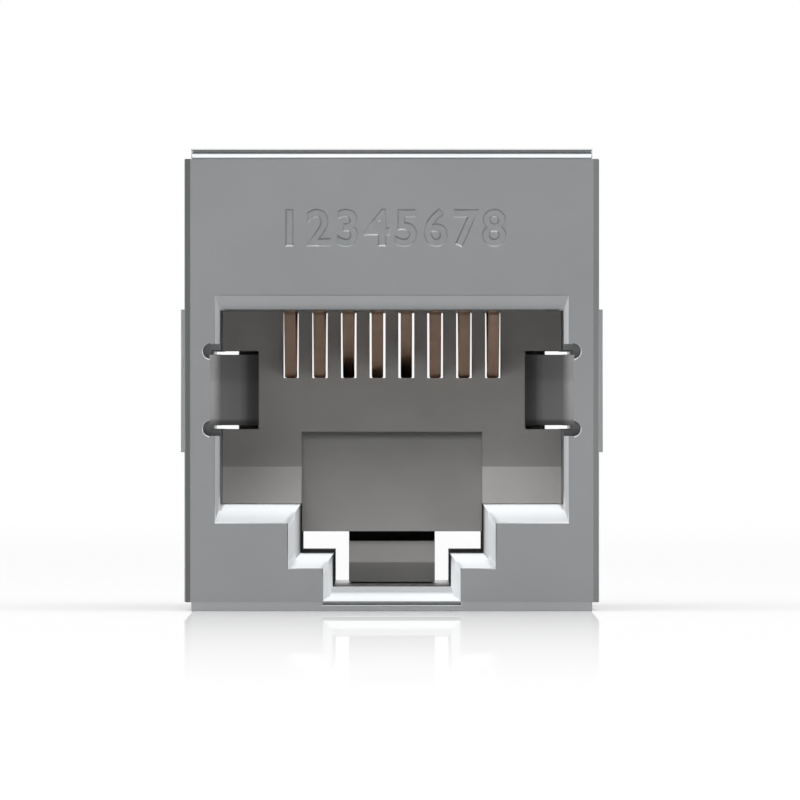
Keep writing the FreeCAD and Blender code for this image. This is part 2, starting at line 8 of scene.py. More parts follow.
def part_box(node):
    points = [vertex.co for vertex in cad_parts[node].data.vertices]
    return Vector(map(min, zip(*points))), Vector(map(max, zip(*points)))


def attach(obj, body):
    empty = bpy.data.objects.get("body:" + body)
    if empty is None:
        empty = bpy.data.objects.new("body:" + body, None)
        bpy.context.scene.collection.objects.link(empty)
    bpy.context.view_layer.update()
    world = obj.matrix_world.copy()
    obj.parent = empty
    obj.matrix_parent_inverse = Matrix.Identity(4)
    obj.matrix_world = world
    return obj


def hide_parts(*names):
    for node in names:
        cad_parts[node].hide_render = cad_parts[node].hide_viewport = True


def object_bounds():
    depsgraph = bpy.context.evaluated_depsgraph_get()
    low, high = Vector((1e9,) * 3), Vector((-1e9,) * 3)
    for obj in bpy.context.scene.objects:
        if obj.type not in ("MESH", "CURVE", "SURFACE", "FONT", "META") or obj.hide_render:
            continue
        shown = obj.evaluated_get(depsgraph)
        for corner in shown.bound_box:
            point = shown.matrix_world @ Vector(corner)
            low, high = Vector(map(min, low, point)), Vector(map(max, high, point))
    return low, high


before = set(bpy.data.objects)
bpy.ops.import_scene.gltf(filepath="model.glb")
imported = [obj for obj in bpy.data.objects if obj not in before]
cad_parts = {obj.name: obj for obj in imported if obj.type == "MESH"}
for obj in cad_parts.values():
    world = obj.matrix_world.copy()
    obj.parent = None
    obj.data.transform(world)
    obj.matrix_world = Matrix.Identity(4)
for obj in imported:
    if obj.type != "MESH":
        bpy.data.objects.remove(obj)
cad_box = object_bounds()


# Housing: a zinc die casting under satin nickel plate, with one stepped port running through it end to end.
# The trim press rounds the rim of each mouth behind a fine step, and pin numbers are engraved over it.
# Tumbling breaks the outer edges. The rib fronts are a paler nickel, the corner strips and the notch backs
# carry painted shade, deepest at the left corner, and the latch channel is painted near black as shade.
MM = 0.001
SAME_POINT = 0.0005 * MM
SAME_PLANE = math.radians(0.4)
CREASE = math.radians(30)
scene = bpy.context.scene


def flats_joined(skin):
    """Join the triangles of each flat into whole faces."""
    bmesh.ops.dissolve_limit(skin, angle_limit=SAME_PLANE, verts=skin.verts, edges=skin.edges)
    return skin


def merged_skin(node):
    """Copy a CAD node's loose triangles into one closed skin with whole flat faces."""
    skin = bmesh.new()
    skin.from_mesh(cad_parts[node].data)
    bmesh.ops.remove_doubles(skin, verts=skin.verts, dist=SAME_POINT)
    return flats_joined(skin)


def is_outer_corner(edge):
    """Tell whether an edge is a sharp one that stands outwards."""
    return len(edge.link_faces) == 2 and edge.is_convex and edge.calc_face_angle(0) > CREASE


def round_over(skin, edges, width, segments=2, clamp=True):
    """Break a set of edges, as tumbling or the trim press leaves them."""
    bmesh.ops.bevel(skin, geom=edges, offset=width, offset_type="OFFSET", segments=segments,
                    profile=0.5, affect="EDGES", clamp_overlap=clamp, material=-1)


def stood_up(name, skin):
    """Turn a worked skin into an object of the scene."""
    mesh = bpy.data.meshes.new(name)
    skin.to_mesh(mesh)
    skin.free()
    piece = bpy.data.objects.new(name, mesh)
    scene.collection.objects.link(piece)
    return piece


def dressed_piece(skin, node, finishes, creases=()):
    """Shade a worked skin round its soft bends and put it in its CAD node's place, with its finishes."""
    for face in skin.faces:
        face.smooth = True
    for edge in skin.edges:
        edge.smooth = edge.calc_face_angle(0) < CREASE
    for edge in creases:
        edge.smooth = False
    piece = stood_up(node + "_dressed", skin)
    for finish in finishes:
        piece.data.materials.append(finish)
    even = piece.modifiers.new("even_flats", "WEIGHTED_NORMAL")
    even.keep_sharp = True
    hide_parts(node)
    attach(piece, "root")


CLOUD_DETAIL = 4.0
CLOUD_SPAN = (0.3, 0.7)
GRAIN_DETAIL = 3.0
RELIEF_STRENGTH = 0.1


def noise(tree, place, scale, detail):
    """Add a pattern of clouds or grain."""
    pattern = tree.nodes.new("ShaderNodeTexNoise")
    pattern.inputs["Scale"].default_value = scale
    pattern.inputs["Detail"].default_value = detail
    tree.links.new(place, pattern.inputs["Vector"])
    return pattern.outputs["Fac"]


def ranged(tree, source, span, levels=(0.0, 1.0), easing="LINEAR"):
    """Spread a value's span over a pair of levels."""
    step = tree.nodes.new("ShaderNodeMapRange")
    step.interpolation_type = easing
    for name, level in zip(("From Min", "From Max", "To Min", "To Max"), tuple(span) + tuple(levels)):
        step.inputs[name].default_value = level
    tree.links.new(source, step.inputs["Value"])
    return step.outputs["Result"]


def grained_finish(name, tones, gloss, scales, relief_depth, stretch=(1, 1, 1)):
    """Build a finish whose colour clouds slowly while its gloss and relief follow a fine grain."""
    cloud_scale, grain_scale = scales
    finish = bpy.data.materials.new(name)
    finish.use_nodes = True
    tree = finish.node_tree
    shader = tree.nodes["Principled BSDF"]
    place = tree.nodes.new("ShaderNodeTexCoord").outputs["Object"]
    drawn = tree.nodes.new("ShaderNodeMapping")
    drawn.inputs["Scale"].default_value = stretch
    tree.links.new(place, drawn.inputs["Vector"])
    tone = tree.nodes.new("ShaderNodeValToRGB")
    for stop, position, colour in zip(tone.color_ramp.elements, CLOUD_SPAN, tones):
        stop.position = position
        stop.color = colour
    tree.links.new(noise(tree, place, cloud_scale, CLOUD_DETAIL), tone.inputs["Fac"])
    tree.links.new(tone.outputs["Color"], shader.inputs["Base Color"])
    grain = noise(tree, drawn.outputs["Vector"], grain_scale, GRAIN_DETAIL)
    tree.links.new(ranged(tree, grain, (0.0, 1.0), gloss), shader.inputs["Roughness"])
    relief = tree.nodes.new("ShaderNodeBump")
    relief.inputs["Strength"].default_value = RELIEF_STRENGTH
    relief.inputs["Distance"].default_value = relief_depth
    tree.links.new(grain, relief.inputs["Height"])
    tree.links.new(relief.outputs["Normal"], shader.inputs["Normal"])
    return finish


def as_metal(finish):
    """Make a grained finish a metal one."""
    finish.node_tree.nodes["Principled BSDF"].inputs["Metallic"].default_value = 1.0
    return finish


NICKEL_TONES = ((0.324, 0.333, 0.341, 1), (0.348, 0.357, 0.365, 1))
# Painted shade: a darker nickel for the housing's corner strips and notch backs, and for the cover's top.
DULL_SHADE_TONES = ((0.232, 0.237, 0.241, 1), (0.248, 0.253, 0.257, 1))
# Painted shade: a still darker nickel for the left corner strip.
LEFT_SHADE_TONES = ((0.141, 0.147, 0.148, 1), (0.153, 0.159, 0.160, 1))
PALE_RIB_TONES = ((0.425, 0.43, 0.43, 1), (0.455, 0.46, 0.46, 1))
# Painted shade: a near black, low-sheen finish for the latch channel's walls and floor.
CHANNEL_SHADE_TONES = ((0.05, 0.05, 0.052, 1), (0.07, 0.07, 0.072, 1))
SATIN_GLOSS = (0.26, 0.34)
DULL_GLOSS = (0.3, 0.4)
CHANNEL_SHADE_GLOSS = (0.75, 0.9)
CHANNEL_SHADE_SHEEN = 0.1
CAST_SCALES = (240.0, 8000.0)
CAST_RELIEF = 0.012 * MM
CHANNEL_SHADE_RELIEF = 0.02 * MM


def plated_finish(name, tones, gloss):
    """Build a plate that follows the grain of the metal under it."""
    return as_metal(grained_finish(name, tones, gloss, CAST_SCALES, CAST_RELIEF))


satin_nickel = plated_finish("satin_nickel", NICKEL_TONES, SATIN_GLOSS)
dull_shaded_nickel = plated_finish("dull_shaded_nickel", DULL_SHADE_TONES, DULL_GLOSS)
left_shade_nickel = plated_finish("left_shade_nickel", LEFT_SHADE_TONES, DULL_GLOSS)
pale_rib_nickel = plated_finish("pale_rib_nickel", PALE_RIB_TONES, SATIN_GLOSS)
channel_shade_zinc = grained_finish("channel_shade_zinc", CHANNEL_SHADE_TONES, CHANNEL_SHADE_GLOSS, CAST_SCALES, CHANNEL_SHADE_RELIEF)
channel_shade_zinc.node_tree.nodes["Principled BSDF"].inputs["Specular IOR Level"].default_value = CHANNEL_SHADE_SHEEN

END_FACE = cad_box[1][1]
MOUTH_DEPTH = 0.24 * MM
MOUTH_HALF_WIDTH = 6.3 * MM
MOUTH_TOP = 11.5 * MM
LEAST_LEAN = 0.1
SQUARE_ON = 0.999
SIDEWAYS = 0.3
MITRE = math.radians(8)
MITRE_RUN = 0.002 * MM
MITRE_STRIP = 0.15 * MM
# Each curve pairs a depth of the CAD rim with the depth it is pressed to, in millimetres.
RIM_CURVE = (
    (0, 0), (0.0063, 0.033), (0.0126, 0.040), (0.03, 0.060), (0.0407, 0.0686),
    (0.067, 0.092), (0.0844, 0.111), (0.10, 0.130), (0.1305, 0.159), (0.158, 0.193),
    (0.17, 0.2105), (0.194, 0.226), (0.217, 0.243), (0.24, 0.264))
TOP_RIM = 10.42 * MM
TOP_CURVE = (
    (0, 0), (0.0063, 0.033), (0.03, 0.060), (0.067, 0.092), (0.10, 0.130),
    (0.1305, 0.165), (0.158, 0.207), (0.194, 0.258), (0.24, 0.306))
SIDE_INNER = 5.9 * MM
SIDE_CURVE = (
    (0, 0), (0.0063, 0.012), (0.03, 0.0395), (0.067, 0.0713), (0.10, 0.1008),
    (0.1305, 0.1194), (0.158, 0.1374), (0.194, 0.153), (0.24, 0.1684))
LIP_TOP = 0.9 * MM
LIP_CURVE = ((0, 0), (0.03, 0.03), (0.10, 0.07), (0.17, 0.118), (0.24, 0.24))


def along_curve(curve, place):
    """Read a curve of straight runs at one place."""
    for (near, near_level), (far, far_level) in zip(curve, curve[1:]):
        if place <= far:
            break
    return near_level + (far_level - near_level) * (place - near) / (far - near)


def in_mouth(vert, end, depth):
    """Tell whether a point lies in the mouth at one end, no deeper than a limit."""
    shallow = END_FACE - vert.co.y * end < depth + SAME_POINT
    return shallow and vert.co.z < MOUTH_TOP and abs(vert.co.x) < MOUTH_HALF_WIDTH


def mouth_rim(skin, end):
    """Gather the leaning faces between an end face and its port."""
    rim = []
    for face in skin.faces:
        at_mouth = all(in_mouth(vert, end, MOUTH_DEPTH) for vert in face.verts)
        if at_mouth and LEAST_LEAN < face.normal.y * end < SQUARE_ON:
            rim.append(face)
    return rim


def cut_faces(skin, faces, place, across):
    """Cut a set of faces along one plane."""
    loops = {edge for face in faces for edge in face.edges}
    points = {vert for face in faces for vert in face.verts}
    bmesh.ops.bisect_plane(skin, geom=faces + list(loops) + list(points), dist=SAME_POINT,
                           plane_co=place, plane_no=across)


def turns_corner(edge):
    """Tell whether an edge of a rim runs aslant, where two straight runs meet."""
    run = edge.verts[0].co - edge.verts[1].co
    return min(abs(run.x), abs(run.z)) > MITRE_RUN and edge.calc_face_angle(0) > MITRE


def rim_mitres(rim):
    """Gather the edges where two runs of a rim meet at a corner."""
    found = []
    for edge in {edge for face in rim for edge in face.edges}:
        if all(face in rim for face in edge.link_faces) and turns_corner(edge):
            found.append(edge)
    return found


def round_mouth(skin, end):
    """Cut the rim of one mouth into fine rows and press them into a round behind a fine step."""
    for edge in rim_mitres(mouth_rim(skin, end)):
        start = edge.verts[0].co.copy()
        run = edge.verts[1].co - start
        across = Vector((run.z, 0, -run.x)).normalized()
        if max(vert.co.z for vert in edge.verts) > LIP_TOP:
            cut_faces(skin, list(edge.link_faces), start + across * MITRE_STRIP, across)
            cut_faces(skin, list(edge.link_faces), start - across * MITRE_STRIP, across)
    for stop in RIM_CURVE[1:-1]:
        row = end * (END_FACE - stop[0] * MM)
        cut_faces(skin, mouth_rim(skin, end), (0, row, 0), (0, 1, 0))
    rim = set(mouth_rim(skin, end))
    for vert in {vert for face in rim for vert in face.verts}:
        curve = LIP_CURVE if vert.co.z < LIP_TOP else RIM_CURVE
        if vert.co.z > TOP_RIM:
            curve = TOP_CURVE
        faces_sideways = any(abs(face.normal.x) > SIDEWAYS for face in vert.link_faces if face in rim)
        if abs(vert.co.x) > SIDE_INNER and faces_sideways:
            curve = SIDE_CURVE
        depth = (END_FACE - vert.co.y * end) / MM
        vert.co.y = end * (END_FACE - along_curve(curve, depth) * MM)
    skin.normal_update()


PINS = range(1, 9)
# The numbers are cut at a scale of millimetres, where the cut keeps their fine edges.
NUMBER_HEIGHT = 1.25
NUMBER_CENTRE = 13.35
NUMBER_DEPTH = 0.06
NUMBER_STROKE = 0.012
NUMBER_FINENESS = 4
DIGIT_SHARE = 0.73
CUTTER_PROUD = 0.004
number_cutter = bmesh.new()
for pin in PINS:
    low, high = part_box("front_contact_%d" % pin)
    letter = bpy.data.curves.new("pin_number", "FONT")
    letter.body = str(pin)
    letter.size = NUMBER_HEIGHT / DIGIT_SHARE
    letter.align_x = "CENTER"
    letter.resolution_u = NUMBER_FINENESS
    letter.offset = NUMBER_STROKE
    letter.bevel_depth = NUMBER_DEPTH
    letter.bevel_resolution = 0
    stand_in = bpy.data.objects.new("pin_number", letter)
    number = bpy.data.meshes.new_from_object(stand_in)
    number_x = (low[0] + high[0]) / 2 / MM
    number_place = Vector((number_x, -END_FACE / MM - CUTTER_PROUD, NUMBER_CENTRE - NUMBER_HEIGHT / 2))
    number.transform(Matrix.Translation(number_place) @ Matrix.Rotation(math.radians(90), 4, "X"))
    number_cutter.from_mesh(number)
    bpy.data.objects.remove(stand_in)
    bpy.data.curves.remove(letter)
    bpy.data.meshes.remove(number)
bmesh.ops.remove_doubles(number_cutter, verts=number_cutter.verts, dist=SAME_POINT / MM)
bmesh.ops.recalc_face_normals(number_cutter, faces=number_cutter.faces)
cutter = stood_up("number_cutter", number_cutter)
blank_skin = merged_skin("housing")
bmesh.ops.scale(blank_skin, verts=blank_skin.verts, vec=(1 / MM, 1 / MM, 1 / MM))
blank = stood_up("housing_blank", blank_skin)
engraving = blank.modifiers.new("engraving", "BOOLEAN")
engraving.operation = "DIFFERENCE"
engraving.solver = "EXACT"
engraving.use_self = True
engraving.object = cutter
engraved = bpy.data.meshes.new_from_object(blank.evaluated_get(bpy.context.evaluated_depsgraph_get()))
housing_skin = bmesh.new()
housing_skin.from_mesh(engraved)
bmesh.ops.scale(housing_skin, verts=housing_skin.verts, vec=(MM, MM, MM))
flats_joined(housing_skin)
bpy.data.objects.remove(blank)
bpy.data.objects.remove(cutter)

SIDE_WALL = 7.2 * MM
OUTER_BREAK = 0.04 * MM
RIB_BREAK = 0.015 * MM
NOTCH_INNER = 6.25 * MM
NOTCH_OUTER = 6.6 * MM
NOTCH_BREAK = 0.06 * MM
NOTCH_SEGMENTS = 3
outer_edges = []
rib_edges = []
for edge in housing_skin.edges:
    reaches = [abs(vert.co.x) - SIDE_WALL for vert in edge.verts]
    if is_outer_corner(edge) and min(reaches) > -SAME_POINT:
        group = rib_edges if max(reaches) > SAME_POINT else outer_edges
        group.append(edge)
round_over(housing_skin, outer_edges, OUTER_BREAK)
round_over(housing_skin, [edge for edge in rib_edges if edge.is_valid], RIB_BREAK)
for end in (-1, 1):
    notch_lips = []
    for edge in housing_skin.edges:
        on_face = all(END_FACE - vert.co.y * end < SAME_POINT for vert in edge.verts)
        at_notch = all(NOTCH_INNER < abs(vert.co.x) < NOTCH_OUTER for vert in edge.verts)
        curved = abs(edge.verts[0].co.x - edge.verts[1].co.x) > SAME_POINT
        if on_face and at_notch and curved and is_outer_corner(edge):
            notch_lips.append(edge)
    round_over(housing_skin, notch_lips, NOTCH_BREAK, NOTCH_SEGMENTS, clamp=False)
    round_mouth(housing_skin, end)

RIM_DEPTH = 0.264 * MM
STEP_LEVELS = (0.012 * MM, 0.033 * MM)
creases = []
for edge in housing_skin.edges:
    at_mouth = all(in_mouth(vert, math.copysign(1, vert.co.y), RIM_DEPTH) for vert in edge.verts)
    in_lip = max(vert.co.z for vert in edge.verts) < LIP_TOP
    depths = [END_FACE - abs(vert.co.y) for vert in edge.verts]
    on_face = max(depths) < SAME_POINT
    on_step = all(min(abs(depth - level) for level in STEP_LEVELS) < SAME_POINT for depth in depths)
    in_rim = on_face or on_step
    if in_lip:
        in_rim = turns_corner(edge)
    on_rib = all(abs(vert.co.x) > SIDE_WALL - SAME_POINT for vert in edge.verts)
    round_rib_front = on_rib and any(abs(face.normal.y) > SQUARE_ON for face in edge.link_faces)
    if round_rib_front or (at_mouth and in_rim):
        creases.append(edge)

NOTCH_BACK = 1.5 * MM
CORNER_INNER = 6.95 * MM
CORNER_LEAN = (0.6, 0.78)
CHANNEL_HALF_WIDTH = 3.3 * MM
CHANNEL_BOTTOM = 1.0 * MM
CHANNEL_TOP = 3.0 * MM
FACING = 0.9
DULL_SHADED, CHANNEL_SHADE, PALE_RIB, LEFT_SHADE = range(1, 5)
for face in housing_skin.faces:
    middle = face.calc_center_median()
    reach = abs(middle.x)
    depth = END_FACE - abs(middle.y)
    across = abs(face.normal.x)
    along = abs(face.normal.y)
    in_corner = reach > CORNER_INNER and CORNER_LEAN[0] < across < CORNER_LEAN[1] and along > CORNER_LEAN[0]
    in_notch = NOTCH_INNER < reach < NOTCH_OUTER and along > FACING and depth > NOTCH_BACK
    in_channel = reach < CHANNEL_HALF_WIDTH and CHANNEL_BOTTOM < middle.z < CHANNEL_TOP
    # The latch channel's walls and floor are painted near black as shade.
    if in_channel and depth > RIM_DEPTH and max(across, face.normal.z) > FACING:
        face.material_index = CHANNEL_SHADE
    elif reach > SIDE_WALL and along > SQUARE_ON:
        face.material_index = PALE_RIB
    # The left corner strip takes the darkest nickel as painted shade.
    elif in_corner and middle.x < 0:
        face.material_index = LEFT_SHADE
    # The corner strips and the notch backs take the darker nickel as painted shade.
    elif in_corner or in_notch:
        face.material_index = DULL_SHADED
housing_finishes = (satin_nickel, dull_shaded_nickel, channel_shade_zinc, pale_rib_nickel, left_shade_nickel)
dressed_piece(housing_skin, "housing", housing_finishes, creases)


# Inner carrier: a block moulded in grey nylon that slides into the middle of the port and stops both plugs.
# Its face has a shelf for the plug's latch, a web painted black as shade and a foot below, with painted
# shade by height as in the photograph. The mould leaves its edges soft, its ramps carry painted light and a
# thin sole seats its foot.
CARRIER_BREAK = 0.035 * MM
SOFT_TOP = 6.25 * MM
SOFT_HALF_WIDTH = 5.9 * MM
SOFT_LENGTH = 0.5 * MM
RAMP_INNER = 3.0 * MM
RAMP_TOP = 5.0 * MM
RAMP_LEAN = (0.3, 0.95)
WEB_BOTTOM = 2.4 * MM
WEB_TOP = 2.72 * MM
SOLE_INSET = 0.2 * MM
SOLE_DEPTH = 0.045 * MM
LEVEL = 0.99
LIT_RAMP, WEB_SHADE = 1, 2
NYLON_TONES = ((0.52, 0.5135, 0.50, 1), (0.572, 0.5655, 0.5525, 1))
LIT_RAMP_TONES = ((0.66, 0.655, 0.645, 1), (0.73, 0.725, 0.715, 1))
WEB_SHADE_TONES = ((0.03, 0.03, 0.03, 1), (0.045, 0.045, 0.046, 1))
NYLON_GLOSS = (0.42, 0.58)
LIT_RAMP_GLOSS = (0.34, 0.48)
WEB_SHADE_GLOSS = (0.5, 0.65)
NYLON_SCALES = (500.0, 12000.0)
NYLON_RELIEF = 0.02 * MM
NYLON_SHADE_HEIGHTS = (
    (0.9, 0.62), (1.4, 0.66), (1.7, 0.84), (2.2, 0.86), (3.1, 0.72), (4.5, 0.63),
    (5.6, 0.565), (6.1, 0.575), (7.2, 0.68), (8.4, 0.82), (9.4, 0.98), (11.2, 1.0))
MIDWAY = 0.5
COLOUR_A, COLOUR_B, COLOUR_RESULT = 6, 7, 2


def worked_out(tree, operation, first, second=None):
    """Add one step of arithmetic on a value."""
    step = tree.nodes.new("ShaderNodeMath")
    step.operation = operation
    tree.links.new(first, step.inputs[0])
    if isinstance(second, (int, float)):
        step.inputs[1].default_value = second
    elif second is not None:
        tree.links.new(second, step.inputs[1])
    return step.outputs["Value"]


def toned_along(finish, axis, tones):
    """Paint shade into a finish by degrees along one axis, measured out from the middle of the part."""
    tree = finish.node_tree
    colour = tree.nodes["Principled BSDF"].inputs["Base Color"]
    plain = colour.links[0].from_socket
    axes = tree.nodes.new("ShaderNodeSeparateXYZ")
    tree.links.new(tree.nodes.new("ShaderNodeTexCoord").outputs["Object"], axes.inputs["Vector"])
    outwards = worked_out(tree, "ABSOLUTE", axes.outputs[axis])
    first, last = tones[0][0], tones[-1][0]
    shade = tree.nodes.new("ShaderNodeValToRGB")
    stops = shade.color_ramp.elements
    while len(stops) < len(tones):
        stops.new(MIDWAY)
    for stop, (distance, level) in zip(stops, tones):
        stop.position = (distance - first) / (last - first)
        stop.color = (level, level, level, 1)
    tree.links.new(ranged(tree, outwards, (first * MM, last * MM)), shade.inputs["Fac"])
    shaded = tree.nodes.new("ShaderNodeMix")
    shaded.data_type = "RGBA"
    shaded.blend_type = "MULTIPLY"
    shaded.inputs["Factor"].default_value = 1.0
    tree.links.new(shade.outputs["Color"], shaded.inputs[COLOUR_A])
    tree.links.new(plain, shaded.inputs[COLOUR_B])
    tree.links.new(shaded.outputs[COLOUR_RESULT], colour)


grey_nylon = grained_finish("grey_nylon", NYLON_TONES, NYLON_GLOSS, NYLON_SCALES, NYLON_RELIEF)
# Painted shade: the nylon is darkened and lightened by height, as light falls into the port.
toned_along(grey_nylon, "Z", NYLON_SHADE_HEIGHTS)
# A lighter nylon, painted light for the carrier's ramps.
lit_ramp_nylon = grained_finish("lit_ramp_nylon", LIT_RAMP_TONES, LIT_RAMP_GLOSS, NYLON_SCALES, NYLON_RELIEF)
# A black nylon, painted shade for the web under the latch shelf.
web_shade_nylon = grained_finish("web_shade_nylon", WEB_SHADE_TONES, WEB_SHADE_GLOSS, NYLON_SCALES, NYLON_RELIEF)
carrier_skin = merged_skin("inner_carrier")
soft_edges = []
for edge in carrier_skin.edges:
    low_down = all(vert.co.z < SOFT_TOP and abs(vert.co.x) < SOFT_HALF_WIDTH for vert in edge.verts)
    if low_down and edge.calc_length() > SOFT_LENGTH and is_outer_corner(edge):
        soft_edges.append(edge)
round_over(carrier_skin, soft_edges, CARRIER_BREAK)
foot_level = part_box("inner_carrier")[0][2]
soles = []
for face in carrier_skin.faces:
    if face.normal.z < -LEVEL and face.calc_center_median().z < foot_level + SAME_POINT:
        soles.append(face)
bmesh.ops.inset_individual(carrier_skin, faces=soles, thickness=SOLE_INSET, depth=SOLE_DEPTH)
# The ramps take the lighter nylon as painted light, and the web's faces the black nylon as painted shade.
for face in carrier_skin.faces:
    middle = face.calc_center_median()
    on_ramp = abs(middle.x) > RAMP_INNER and middle.z < RAMP_TOP
    if on_ramp and RAMP_LEAN[0] < face.normal.z < RAMP_LEAN[1]:
        face.material_index = LIT_RAMP
    if abs(face.normal.y) > FACING and WEB_BOTTOM < middle.z < WEB_TOP:
        face.material_index = WEB_SHADE
dressed_piece(carrier_skin, "inner_carrier", (grey_nylon, lit_ramp_nylon, web_shade_nylon))


# Contact holders: two combs moulded in the same grey nylon, standing on the port's roof behind each mouth.
# Each keeps eight wires apart in its slots and carries the circuit board on its back.
ENDS = ("front", "rear")
# The holders' nylon carries the same painted shade by height.
for end in ENDS:
    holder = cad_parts[end + "_contact_holder"]
    holder.data.materials.clear()
    holder.data.materials.append(grey_nylon)


# Contacts: eight phosphor bronze wires at each end, drawn flat, bent back on themselves and left to spring.
# Their tails go up through the board and their free tips rest in the carrier's comb.
WIRE_BREAK = 0.045 * MM
BRONZE_TONES = ((0.86, 0.57, 0.415, 1), (0.98, 0.655, 0.475, 1))
BRONZE_GLOSS = (0.3, 0.45)
BRONZE_SCALES = (700.0, 14000.0)
BRONZE_DRAW = (1, 0.06, 0.06)
DRAWN_RELIEF = 0.008 * MM
drawn_bronze = as_metal(grained_finish("drawn_bronze", BRONZE_TONES, BRONZE_GLOSS, BRONZE_SCALES,
                                       DRAWN_RELIEF, BRONZE_DRAW))
for end in ENDS:
    for pin in PINS:
        node = "%s_contact_%d" % (end, pin)
        wire_skin = merged_skin(node)
        arrises = []
        for edge in wire_skin.edges:
            runs_along = abs(edge.verts[0].co.x - edge.verts[1].co.x) < SAME_POINT
            if runs_along and is_outer_corner(edge):
                arrises.append(edge)
        round_over(wire_skin, arrises, WIRE_BREAK)
        dressed_piece(wire_skin, node, (drawn_bronze,))


# Ground springs: four strips of stainless spring steel, one hooked over each side of each mouth.
# They bow into the port to grip the plug's shield. The bend over the mouth carries a painted highlight, and
# the tip, the lower edge and the upper half carry painted shade, toned as the photograph shades them.
STRIP_BREAK = 0.02 * MM
HOOK_SEAT = 0.04 * MM
STRIP_TONES = ((0.93, 0.93, 0.945, 1), (1.0, 1.0, 1.0, 1))
STRIP_GLOSS = (0.56, 0.68)
STRIP_SCALES = (400.0, 9000.0)
STRIP_ROLL = (1, 0.05, 1)
STRIP_TONE_AND_LIGHT_BY_REACH = (
    (4.6, 0.10), (5.0, 0.105), (5.08, 0.14), (5.22, 0.147), (5.27, 0.16),
    (5.94, 0.162), (6.04, 0.178), (6.2, 0.257), (6.34, 0.273))
STRIP_SHADE_BY_HEIGHT = (
    (6.45, 0.40), (6.56, 0.48), (6.62, 0.66), (6.67, 0.96), (6.8, 1.0), (7.2, 0.98),
    (7.6, 0.94), (7.9, 0.89), (8.02, 0.79), (8.13, 0.74), (8.45, 0.70), (8.9, 0.67))
shaded_rolled_strip = as_metal(grained_finish("shaded_rolled_strip", STRIP_TONES, STRIP_GLOSS, STRIP_SCALES,
                                       DRAWN_RELIEF, STRIP_ROLL))
# The strip's own dark steel tone along its reach, with painted shade at the tip and a painted highlight on
# the bend.
toned_along(shaded_rolled_strip, "X", STRIP_TONE_AND_LIGHT_BY_REACH)
# Painted shade by height: the lower edge and the upper half are darkened.
toned_along(shaded_rolled_strip, "Z", STRIP_SHADE_BY_HEIGHT)
for end in ENDS:
    for side in ("left", "right"):
        node = "%s_%s_ground_spring" % (end, side)
        strip_skin = merged_skin(node)
        hook_edge = max(abs(vert.co.x) for vert in strip_skin.verts)
        hook = [vert for vert in strip_skin.verts if abs(vert.co.x) > hook_edge - SAME_POINT]
        for vert in hook:
            vert.co.x += math.copysign(HOOK_SEAT, vert.co.x)
        arrises = []
        for edge in strip_skin.edges:
            on_hook = all(vert in hook for vert in edge.verts)
            if not on_hook and is_outer_corner(edge):
                arrises.append(edge)
        round_over(strip_skin, arrises, STRIP_BREAK)
        dressed_piece(strip_skin, node, (shaded_rolled_strip,))


# Circuit board: a small glass laminate panel under green lacquer, standing on the two contact holders.
# It joins each front wire to the rear wire of the same number, and both rows of tails come up through it.
LACQUER_TONES = ((0.012, 0.075, 0.034, 1), (0.02, 0.125, 0.055, 1))
LACQUER_GLOSS = (0.22, 0.34)
LACQUER_SCALES = (900.0, 5000.0)
LACQUER_RELIEF = 0.01 * MM
green_lacquer = grained_finish("green_lacquer", LACQUER_TONES, LACQUER_GLOSS, LACQUER_SCALES, LACQUER_RELIEF)
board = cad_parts["circuit_board"]
board.data.materials.clear()
board.data.materials.append(green_lacquer)


# Top cover: a second zinc casting in the same plate, snapped into the housing from above by its legs.
# A bevel and a shadow groove run along its two ends, its long sides are only tumbled and its top is rougher,
# with painted shade.
COVER_BREAK = 0.05 * MM
COVER_RIM_HEIGHT = 0.4 * MM
COVER_SIDE_STRIP = 0.1 * MM
cover_skin = merged_skin("top_cover")
cover_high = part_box("top_cover")[1]
cover_top = cover_high[2]
cover_side = cover_high[0]
cover_rim = []
for edge in cover_skin.edges:
    high_up = all(vert.co.z > cover_top - COVER_RIM_HEIGHT for vert in edge.verts)
    at_side = all(abs(vert.co.x) > cover_side - COVER_SIDE_STRIP for vert in edge.verts)
    if high_up and at_side and is_outer_corner(edge):
        cover_rim.append(edge)
round_over(cover_skin, cover_rim, COVER_BREAK, clamp=False)
# The top takes the darker nickel as painted shade, with a rougher gloss.
for face in cover_skin.faces:
    if face.normal.z > LEVEL and face.calc_center_median().z > cover_top - SAME_POINT:
        face.material_index = DULL_SHADED
dressed_piece(cover_skin, "top_cover", (satin_nickel, dull_shaded_nickel))


# Base plate: a blanked steel plate, nickelled a shade lighter, pegged under the housing to close the port.
# The blanking tool rolls its lower edge over.
PLATE_BREAK = 0.025 * MM
PLATE_MARGIN = 0.3 * MM
TAB_HALF_WIDTH = 2.6 * MM
STEEL_TONES = ((0.38, 0.39, 0.40, 1), (0.41, 0.42, 0.43, 1))
plated_steel = plated_finish("plated_steel", STEEL_TONES, SATIN_GLOSS)
plate_skin = merged_skin("base_plate")
plate_low, plate_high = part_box("base_plate")


def on_plate_edge(vert):
    """Tell whether a point is on the plate's outline, at its lower edge or beside the tab's channel."""
    at_side = abs(vert.co.x) > plate_high[0] - PLATE_MARGIN
    at_end = abs(vert.co.y) > plate_high[1] - PLATE_MARGIN
    low_down = vert.co.z < plate_low[2] + SAME_POINT
    return (at_side or at_end) and (low_down or abs(vert.co.x) < TAB_HALF_WIDTH)


rolled_edge = []
for edge in plate_skin.edges:
    if is_outer_corner(edge) and all(on_plate_edge(vert) for vert in edge.verts):
        rolled_edge.append(edge)
round_over(plate_skin, rolled_edge, PLATE_BREAK)
dressed_piece(plate_skin, "base_plate", (plated_steel,))


